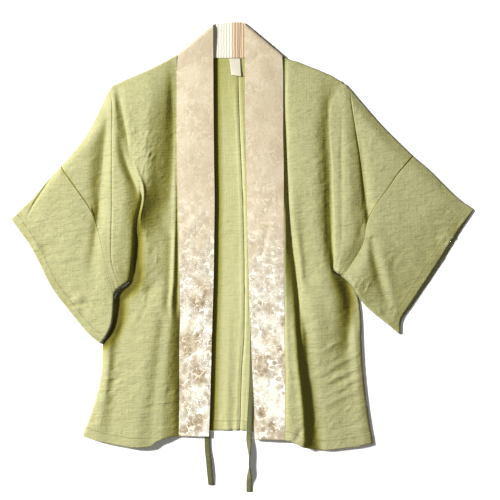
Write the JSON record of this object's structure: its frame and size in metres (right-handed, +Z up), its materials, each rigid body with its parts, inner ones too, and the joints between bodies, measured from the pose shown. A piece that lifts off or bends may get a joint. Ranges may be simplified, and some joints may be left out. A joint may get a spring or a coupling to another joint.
{
  "type": "open-front half-sleeve hanfu shirt, laid flat",
  "caption": "Open-front half-sleeve hanfu shirt in pale green crinkled linen with a cream floral satin collar band and long ties, laid flat.",
  "frame": {"origin": "on the surface the shirt lies on, under the centre of its bounding box", "axes": "+X towards the wearer's left sleeve, +Y from hem to collar, +Z up from the surface"},
  "size_m": [0.7628, 0.774, 0.0182],
  "materials": {
    "green_linen": "matt, softly crinkled pale yellow-green linen blend",
    "cream_satin": "champagne jacquard satin with paler flowers and leaves",
    "white_label": "plain white woven label, bare"
  },
  "bodies": {
    "root": {"back_right": "green_linen", "back_left": "green_linen", "front_right": "green_linen", "front_left": "green_linen", "sleeve_right": "green_linen", "sleeve_left": "green_linen", "collar_right": "cream_satin", "collar_left": "cream_satin", "tie_right": "green_linen", "tie_left": "green_linen", "neck_label": "white_label"}
  },
  "joints": []
}
